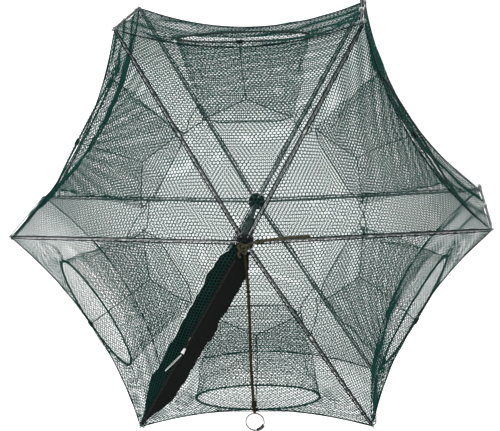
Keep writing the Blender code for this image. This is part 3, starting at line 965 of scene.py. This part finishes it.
@dataclass
class WireFrame:
    """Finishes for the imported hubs, rod, ribs and uprights, and the lashings on the ribs."""

    wrap: float = 0.0024
    pitch: float = 0.011
    thread: float = 0.00045
    tie_place: float = 0.205
    post_across: float = 0.006

    def rib_path(self, number: int, hub: float, start: float, end: float) -> Path:
        """A straight line along a rib, between two distances from the rod."""
        fall = (LAYOUT.top_hub - LAYOUT.top_tip) / (LAYOUT.corner_radius - LAYOUT.hub_radius)
        ends = [Vector((radius, 0, hub - fall * (radius - LAYOUT.hub_radius))) for radius in (start, end)]
        return [turned(number) @ point for point in ends]

    def build(self) -> None:
        """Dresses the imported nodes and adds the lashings."""
        for name, node in frame["nodes"].items():
            if name.endswith("hub") or name in ("center_rod", "lock_collar"):
                self.dress(node, BLACK_NYLON)
            elif "_rib_" in name or "corner_post" in name:
                self.dress(node, STEEL)
        for number in range(1, SIDES + 1):
            for layer, hub in (("top", LAYOUT.top_hub), ("bottom", LAYOUT.bottom_hub)):
                body = f"{layer}_rib_{number}"
                path = self.rib_path(number, hub, 0.030, LAYOUT.corner_radius - 0.008)
                coil = coil_round(path, self.wrap, self.pitch)
                line_piece(f"{body}_lashing", [coil], self.thread, LASHING, body)
            body = f"top_rib_{number}"
            path = self.rib_path(number, LAYOUT.top_hub, self.tie_place, self.tie_place + 0.006)
            coil = coil_round(path, self.wrap + 0.0008, 0.0016)
            line_piece(f"{body}_tie", [coil], 0.0009, WHITE_THREAD, body)
            self.corner_binding(number)

    def corner_binding(self, number: int) -> None:
        """A cord down the corner of the walls, and the binding and the tie on the upright."""
        radius, body, turn = LAYOUT.corner_radius, f"corner_post_{number}", turned(number)
        top, bottom = LAYOUT.top_tip, LAYOUT.top_tip - (LAYOUT.top_hub - LAYOUT.bottom_hub)
        line = [Vector((radius + 0.001, -0.002, top + (bottom - top) * step / 10)) for step in range(11)]
        line_piece(f"corner_cord_{number}", placed(turn, [line]), 0.0008, HEM_CORD, body)
        middle = (top + bottom) / 2
        for name, heights, wrap, pitch, thread, finish in (
            ("corner_lashing", (bottom + 0.014, top - 0.004), 0.0021, 0.012, self.thread, LASHING),
            ("corner_tie", (middle - 0.004, middle + 0.004), 0.0036, 0.0014, 0.0007, WHITE_THREAD),
        ):
            ends = [turn @ Vector((radius, self.post_across, height)) for height in heights]
            line_piece(f"{name}_{number}", [coil_round(ends, wrap, pitch)], thread, finish, body)

    @staticmethod
    def dress(node: bpy.types.Object, finish: Finish) -> None:
        """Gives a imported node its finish."""
        for slot in node.material_slots:
            slot.material = finish.material()
        if not node.material_slots:
            node.data.materials.append(finish.material())


@dataclass
class ZipDoor:
    """The zip band along one top rib: two woven tapes, the teeth, the slider and its pull."""

    cover: Cover
    start: float = 0.012
    end: float = 0.402
    left_width: float = 0.0270
    right_width: float = 0.031
    left_lift: float = -0.0017
    right_lift: float = 0.0012
    thickness: float = 0.0006
    tooth_pitch: float = 0.0026
    tooth: tuple[float, float, float] = (0.0011, 0.0022, 0.0010)

    def laid(self, side: int, radius: float, across: float, lift: float) -> Vector:
        """A point that lies on the top net beside the zip's rib.

        Args:
            side: 1 for the panel after the rib, -1 for the one before it.
            radius: distance along the rib from the rod.
            across: distance from the rib.
            lift: height over the net.

        Returns:
            The point.
        """
        half = math.pi / SIDES
        flat_x = radius * math.cos(half) + across * math.sin(half)
        flat_y = side * (across * math.cos(half) - radius * math.sin(half))
        panel = ZIP_RIB + (0 if side > 0 else -1)
        point = self.cover.surface(flat_x, flat_y, panel)
        point.z += lift
        return turned(ZIP_RIB + side / 2) @ point

    def width_at(self, radius: float, full: float, seed: float) -> float:
        """A tape's width at a distance from the rod: narrowed at both ends, and wavy."""
        near = blend_step((radius - self.start) / 0.040)
        far = blend_step((self.end - radius) / 0.070)
        wave = 1 + 0.16 * noise.noise(Vector((radius * 30, seed, 0)))
        wave += 0.07 * noise.noise(Vector((radius * 110, 0, seed)))
        return max(0.002, full * (0.50 + 0.50 * near) * (0.10 + 0.90 * far) * wave)

    def tape(self, name: str, side: int, full: float, lift: float) -> bpy.types.Object:
        """One tape, as a creased strip.

        Args:
            name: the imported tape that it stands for.
            side: 1 for the panel after the rib, -1 for the one before it.
            full: its width.
            lift: its height over the net.

        Returns:
            The piece.
        """
        shape = bmesh.new()
        bmesh.ops.create_grid(shape, x_segments=180, y_segments=12, size=0.5)
        layer = shape.loops.layers.uv.new("weave")
        for vert in shape.verts:
            radius = self.start + (self.end - self.start) * (vert.co.x + 0.5)
            share = vert.co.y + 0.5
            across = 0.0004 + (self.width_at(radius, full, side * 4.0) - 0.0004) * share
            crease = abs(ripple(Vector((radius, across, 0)), 3.0 * side, 60, 0.0022))
            crease += abs(ripple(Vector((radius * 0.3, across, 0)), 9.0 * side, 160, 0.0012))
            vert.co = (radius, across, crease * blend_step(share * 2) * side)
        for face in shape.faces:
            for loop in face.loops:
                loop[layer].uv = loop.vert.co.xy
        for vert in shape.verts:
            vert.co = self.laid(side, vert.co.x, vert.co.y, lift + vert.co.z)
        bmesh.ops.recalc_face_normals(shape, faces=shape.faces)
        piece = new_piece(f"{name}_weave", mesh_from(name, shape), TAPE, f"top_rib_{ZIP_RIB}")
        solid = piece.modifiers.new("cloth", "SOLIDIFY")
        solid.thickness = self.thickness
        solid.offset = 0.0
        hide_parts(name)
        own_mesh(piece)
        return piece

    def rib_matrix(self) -> Matrix:
        """X along the zip's rib, from its hinge, and Z away from the net."""
        fall = math.atan2(LAYOUT.top_hub - LAYOUT.top_tip, LAYOUT.corner_radius - LAYOUT.hub_radius)
        return (
            turned(ZIP_RIB)
            @ Matrix.Translation((LAYOUT.hub_radius, 0, LAYOUT.top_hub))
            @ Matrix.Rotation(fall, 4, "Y")
        )

    def teeth(self) -> bpy.types.Mesh:
        """The zip's teeth, two staggered rows along the rib."""
        shape = bmesh.new()
        count = int((self.end - self.start - 0.02) / self.tooth_pitch)
        for step in range(count):
            for side in (-1, 1):
                box = bmesh.ops.create_cube(shape, size=1.0)["verts"]
                bmesh.ops.scale(shape, verts=box, vec=self.tooth)
                along = self.start + 0.01 + self.tooth_pitch * (step + 0.25 * side)
                bmesh.ops.translate(shape, verts=box, vec=(along, 0.0009 * side, 0.0052))
        return mesh_from("teeth", shape, self.rib_matrix())

    def slider(self) -> bpy.types.Mesh:
        """The slider: a waisted body with side flanges and an arched bridge for the pull."""
        low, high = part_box("zip_slider")
        centre = self.rib_matrix().inverted() @ ((low + high) / 2)
        shape = bmesh.new()
        for lift in (-0.0009, 0.0009):
            box = bmesh.ops.create_cube(shape, size=1.0)["verts"]
            bmesh.ops.scale(shape, verts=box, vec=(0.0105, 0.0062, 0.0009))
            for vert in box:
                if vert.co.x < 0:
                    vert.co.y *= 0.62
            bmesh.ops.translate(shape, verts=box, vec=(0, 0, lift))
        box = bmesh.ops.create_cube(shape, size=1.0)["verts"]
        bmesh.ops.scale(shape, verts=box, vec=(0.0060, 0.0022, 0.0012))
        bmesh.ops.bevel(
            shape,
            geom=list(shape.edges),
            offset=0.00025,
            segments=2,
            profile=0.5,
            affect="EDGES",
            material=-1,
        )
        bmesh.ops.translate(shape, verts=shape.verts, vec=centre)
        mesh = mesh_from("slider", shape, self.rib_matrix())
        arch = [(-0.0038, 0.0008), (-0.0032, 0.0024), (-0.0008, 0.0031), (0.0026, 0.0031), (0.0042, 0.0018)]
        path = smooth_path([(centre.x + x, centre.y, centre.z + z) for x, z in arch], 6)
        bridge = strands("bridge", [[self.rib_matrix() @ p for p in path]], 0.0009, sides=2)
        return join_meshes("slider", [mesh, bridge])

    def pull_path(self) -> Path:
        """The pull: a slim cord loop that hangs from the slider's bridge."""
        low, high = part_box("zip_pull")
        middle = (low + high) / 2
        hinge = Vector(joint("zip_pull_swing")["pos_m"])
        direction = middle - hinge
        length = direction.length * 2
        direction.normalize()
        side = Vector((0, 0, 1)).cross(direction).normalized()
        path = []
        for step in range(41):
            angle = 2 * math.pi * step / 41
            along = length * (0.5 - 0.5 * math.cos(angle))
            path.append(hinge + direction * along + side * 0.0010 * math.sin(angle))
        return path

    def build(self) -> None:
        """Makes the band."""
        body = f"top_rib_{ZIP_RIB}"
        self.tape("zip_tape_left", -1, self.left_width, self.left_lift)
        self.tape("zip_tape_right", 1, self.right_width, self.right_lift)
        new_piece("zip_teeth", self.teeth(), ZIP_TEETH, body, smooth=False)
        slider = new_piece("zip_slider_body", self.slider(), WHITE_ACETAL, "zip_slider")
        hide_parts("zip_slider")
        pull = line_piece(
            "zip_pull_loop", [self.pull_path()], 0.00045, WHITE_ACETAL, "zip_pull", closed=True, sides=2
        )
        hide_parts("zip_pull")
        # A white thread along the left tape's edge: a painted highlight standing for the steel rib's glint
        # there.
        edge = []
        for step in range(50):
            radius = self.start + 0.014 + 0.200 * step / 49
            across = self.width_at(radius, self.left_width, -4.0) + 0.0006
            edge.append(self.laid(-1, radius, across, 0.0014))
        line_piece("zip_piping", [edge], 0.0006, WHITE_THREAD, body)


def join_meshes(name: str, meshes: Sequence[bpy.types.Mesh]) -> bpy.types.Mesh:
    """One mesh from several."""
    shape = bmesh.new()
    for mesh in meshes:
        shape.from_mesh(mesh)
    return mesh_from(name, shape)


@dataclass
class HaulingLine:
    """The braided rope with its knot, its cut end and the split ring."""

    radius: float = 0.0025
    start: Vector = field(init=False)
    tail_start: Vector = field(init=False)
    ring_pivot: Vector = field(init=False)
    ring_radius: float = 0.016
    over_net: float = 0.0068
    tail_length: float = 0.090
    tail_bow: float = 0.003

    def __post_init__(self) -> None:
        """Reads the rope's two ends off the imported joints."""
        self.start = Vector(joint("rope_droop")["pos_m"])
        self.tail_start = Vector(joint("tail_droop")["pos_m"])
        self.ring_pivot = Vector(joint("ring_swing")["pos_m"])

    def rope_path(self) -> Path:
        """The rope's route over the net, from the hub to the ring."""
        end = self.ring_pivot + Vector((0, 0.0021, 0))
        path = []
        for step in range(60):
            share = step / 59
            radius = -self.start.y + (self.start.y - end.y) * share
            settle = math.exp(-9 * share)
            rise = self.start.z - (LAYOUT.plane(-self.start.y, LAYOUT.top_hub) + self.over_net)
            height = LAYOUT.plane(radius, LAYOUT.top_hub) + self.over_net + rise * settle
            path.append(Vector((0.0015 * math.sin(2 * math.pi * share), -radius, height)))
        return path

    def tail_path(self) -> Path:
        """The stiff cut end that lies on the net beside the knot."""
        direction = Vector((self.tail_start.x, self.tail_start.y, 0)).normalized()
        side = Vector((-direction.y, direction.x, 0))
        path = []
        for step in range(24):
            share = step / 23
            along = self.tail_length * share
            bow = side * self.tail_bow * math.sin(math.pi * share)
            fall = Vector((0, 0, -LAYOUT.slope * along))
            path.append(self.tail_start + direction * along + bow + fall)
        return path

    def build(self) -> None:
        rope_path = self.rope_path()
        rope = line_piece("pull_rope_braid", [rope_path], self.radius, ROPE, "pull_rope", sides=3)
        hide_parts("pull_rope")
        tail_path = self.tail_path()
        tail = line_piece("rope_tail_braid", [tail_path], self.radius, ROPE_LIGHTER, "rope_tail", sides=3)
        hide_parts("rope_tail")
        low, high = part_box("rope_knot")
        centre = (low + high) / 2
        turns = strands("knot", [self.knot_path(centre)], 0.0022, closed=True, sides=3)
        leads = strands("leads", self.lead_paths(centre), 0.0023, sides=3)
        # The knot takes the lighter copy of the rope's colour: painted highlight.
        knot = new_piece("rope_knot_turns", join_meshes("knot", [turns, leads]), ROPE_LIGHTER, "root")
        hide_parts("rope_knot")
        ring_path = self.ring_path()
        ring = line_piece("pull_ring_coil", [ring_path], 0.0010, RING_STEEL, "pull_ring", sides=3)
        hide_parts("pull_ring")
        wrap = line_piece("rope_whipping", [self.whipping_path()], 0.0014, ROPE, "pull_rope", sides=2)
        grip_path = coil_round(ring_path[110:122], 0.0022, 0.0020, 10)
        grip = line_piece("ring_hitch", [grip_path], 0.0010, LASHING, "pull_ring", sides=2)

    def knot_path(self, centre: Vector) -> Path:
        """A trefoil knot that sits on the hub's cap."""
        path = []
        for step in range(72):
            t = 2 * math.pi * step / 72
            x = math.sin(t) + 2 * math.sin(2 * t)
            y = math.cos(t) - 2 * math.cos(2 * t)
            z = -math.sin(3 * t)
            path.append(centre + Vector((x * 0.0033, y * 0.0029, 0.0004 + z * 0.0030)))
        return path

    def lead_paths(self, centre: Vector) -> list[Path]:
        """The rope's runs from the knot to the hauling part, to the cut end, and a short stray end."""
        rope = [centre + Vector((0.003, -0.004, 0.001)), self.start + Vector((0.001, 0.004, 0.001))]
        tail = [centre + Vector((0.002, 0.003, 0.001)), self.tail_start + Vector((-0.006, 0, 0.001))]
        stray = [centre + Vector((-0.004, -0.003, 0)), centre + Vector((-0.009, -0.010, -0.001))]
        ends = (self.start, self.tail_start, centre + Vector((-0.007, -0.017, -0.003)))
        return [smooth_path([*points, end], 6) for points, end in zip((rope, tail, stray), ends)]

    def ring_path(self) -> Path:
        """A split ring: two turns of round wire lying on each other."""
        centre = self.ring_pivot + Vector((0, -self.ring_radius, 0))
        path = []
        for step in range(145):
            angle = math.pi / 2 + 4 * math.pi * step / 144
            lift = 0.00102 * (1 - 2 * blend_step((step - 62) / 20))
            x, y = self.ring_radius * math.cos(angle), self.ring_radius * math.sin(angle)
            path.append(centre + Vector((x, y, lift)))
        return path

    def whipping_path(self) -> Path:
        """The turns of rope that close the loop over the ring's wire."""
        end = self.ring_pivot + Vector((0, 0.0125, 0.0))
        back = end + Vector((0, 0.010, 0.0015))
        return coil_round([back, end], self.radius + 0.0010, 0.0030, 12)


# Stage


@dataclass(frozen=True)
class Stage:
    """The pale floor, the soft lights and the camera."""

    view_turn: tuple[float, float, float] = (14.43, -5.14, 1.09)
    view_place: tuple[float, float, float] = (0.004, -0.073, -2.467)
    look_height: float = 0.13
    lens: float = 99.25
    shift: tuple[float, float] = (-0.0026, -0.0885)
    floor_glow: float = 0.55
    sky: float = 0.75
    key_power: float = 22.0
    key_place: tuple[float, float, float] = (-1.3, 1.0, 2.2)

    def camera(self) -> None:
        """Looks down on the trap, from a little behind it."""
        turn = Euler([math.radians(angle) for angle in self.view_turn], "XYZ").to_matrix()
        back = turn.transposed()
        camera = bpy.data.cameras.new("camera")
        camera.lens = self.lens
        camera.sensor_width = 36.0
        camera.shift_x, camera.shift_y = self.shift
        camera.clip_start, camera.clip_end = 0.05, 50.0
        item = bpy.data.objects.new("camera", camera)
        place = Vector((0, 0, self.look_height)) - back @ Vector(self.view_place)
        item.matrix_world = Matrix.Translation(place) @ back.to_4x4()
        bpy.context.scene.collection.objects.link(item)
        bpy.context.scene.camera = item

    def floor(self) -> None:
        """A wide pale floor."""
        shape = bmesh.new()
        bmesh.ops.create_grid(shape, x_segments=1, y_segments=1, size=8.0)
        floor = bpy.data.objects.new("floor", mesh_from("floor", shape))
        bpy.context.scene.collection.objects.link(floor)
        material = bpy.data.materials.new("pale_floor")
        material.use_nodes = True
        shader = material.node_tree.nodes["Principled BSDF"]
        shader.inputs["Base Color"].default_value = (0.9, 0.9, 0.9, 1)
        shader.inputs["Roughness"].default_value = 0.9
        shader.inputs["Emission Color"].default_value = (1, 1, 1, 1)
        shader.inputs["Emission Strength"].default_value = self.floor_glow
        floor.data.materials.append(material)

    def lights(self) -> None:
        """A bright even sky and a large soft key light."""
        world = bpy.data.worlds.new("studio")
        world.use_nodes = True
        background = world.node_tree.nodes["Background"]
        background.inputs["Color"].default_value = (1, 1, 1, 1)
        background.inputs["Strength"].default_value = self.sky
        bpy.context.scene.world = world
        key = bpy.data.lights.new("key", "AREA")
        key.energy = self.key_power
        key.size = 1.6
        item = bpy.data.objects.new("key", key)
        place = Vector(self.key_place)
        aim = (-place).to_track_quat("-Z", "Y").to_matrix().to_4x4()
        item.matrix_world = Matrix.Translation(place) @ aim
        bpy.context.scene.collection.objects.link(item)
        bpy.context.scene.view_settings.view_transform = "Standard"
        bpy.context.scene.view_settings.look = "Medium High Contrast"

    def build(self) -> None:
        """Makes the stage."""
        self.camera()
        self.floor()
        self.lights()


def main() -> None:
    """Builds the trap."""
    logging.basicConfig(level=logging.INFO, format="%(name)s: %(message)s")
    GROUPS["mottling"] = variation_group()
    GROUPS["braid"] = braid_group()
    Stage().build()
    HaulingLine().build()
    WireFrame().build()
    top = Cover(Layer.TOP, Netting(0.0068, 0.00138))
    top.build()
    Cover(Layer.BOTTOM, Netting(0.0072, 0.00118), gathering=0.28).build()
    Entry().build()
    ZipDoor(top).build()


if __name__ == "__main__":
    main()
